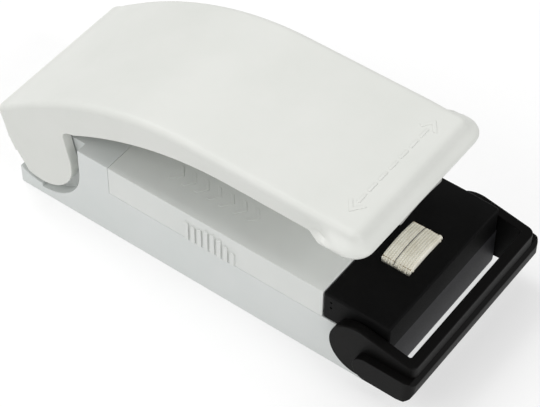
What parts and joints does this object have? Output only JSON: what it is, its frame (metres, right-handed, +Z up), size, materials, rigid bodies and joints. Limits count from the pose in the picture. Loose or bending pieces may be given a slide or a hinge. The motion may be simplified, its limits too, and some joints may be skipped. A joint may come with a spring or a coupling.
{
  "type": "handheld bag heat sealer",
  "caption": "Small battery bag heat sealer: white sprung lever over a cloth-covered heated strip in a black head, with a swinging guard and a lift-off battery cover.",
  "frame": {"origin": "middle of the bottom of the whole object's box, on the table", "axes": "+X runs along the body to the sealing head, +Z is up, +Y is across the body"},
  "size_m": [0.1056, 0.046, 0.0395],
  "materials": {
    "shell_white": "smooth",
    "cover_white": "smooth",
    "lever_white": "smooth",
    "pad_grey": "matte",
    "head_black": "satin",
    "guard_black": "satin",
    "bed_beige": "matte",
    "wire_grey": "drawn",
    "cloth_beige": "woven",
    "terminal_brass": "plain",
    "terminal_brass_2": "plain",
    "spring_steel": "drawn",
    "leaf_brass": "plain",
    "post_brass": "plain",
    "cell_jacket": "satin",
    "cell_jacket_2": "satin",
    "contact_plated": "plated",
    "contact_plated_2": "plated",
    "contact_plated_3": "plated",
    "strip_plated": "plated",
    "strip_plated_2": "plated",
    "screw_steel": "plain"
  },
  "bodies": {
    "base": {"base_shell": "shell_white", "sealing_head": "head_black", "heater_bed": "bed_beige", "heater_wire": "wire_grey", "heater_cloth": "cloth_beige", "terminal_left": "terminal_brass", "terminal_right": "terminal_brass_2", "return_spring": "spring_steel", "switch_leaf": "leaf_brass", "switch_post": "post_brass", "rear_negative_contact": "contact_plated", "rear_positive_contact": "contact_plated_2", "front_bridge_contact": "contact_plated_3", "bus_strip_left": "strip_plated", "bus_strip_right": "strip_plated_2", "head_screws": "screw_steel"},
    "press_lever": {"lever": "lever_white", "press_pad": "pad_grey"},
    "guard": {"guard": "guard_black"},
    "cover": {"battery_cover": "cover_white"},
    "left_cell": {"cell_left": "cell_jacket"},
    "right_cell": {"cell_right": "cell_jacket_2"}
  },
  "joints": [
    {"name": "lever_press", "type": "hinge", "parent": "base", "child": "press_lever", "pos_m": [-0.0419, 0, 0.0128], "axis": [0, -1, 0], "range_deg": [-8.8, 0], "stiffness_Nm_per_rad": 0.6, "springref_deg": 4.58},
    {"name": "guard_swing", "type": "hinge", "parent": "base", "child": "guard", "pos_m": [0.0392, 0, 0.0109], "axis": [0, -1, 0], "range_deg": [0, 90]},
    {"name": "cover_lift", "type": "slide", "parent": "base", "child": "cover", "axis": [0, 0, 1], "range_m": [0, 0.0035]},
    {"name": "cell_left_roll", "type": "hinge", "parent": "base", "child": "left_cell", "pos_m": [0.00285, -0.0079, 0.0093], "axis": [1, 0, 0], "range_deg": [-180, 180]},
    {"name": "cell_right_roll", "type": "hinge", "parent": "base", "child": "right_cell", "pos_m": [0.00285, 0.0079, 0.0093], "axis": [1, 0, 0], "range_deg": [-180, 180]}
  ]
}
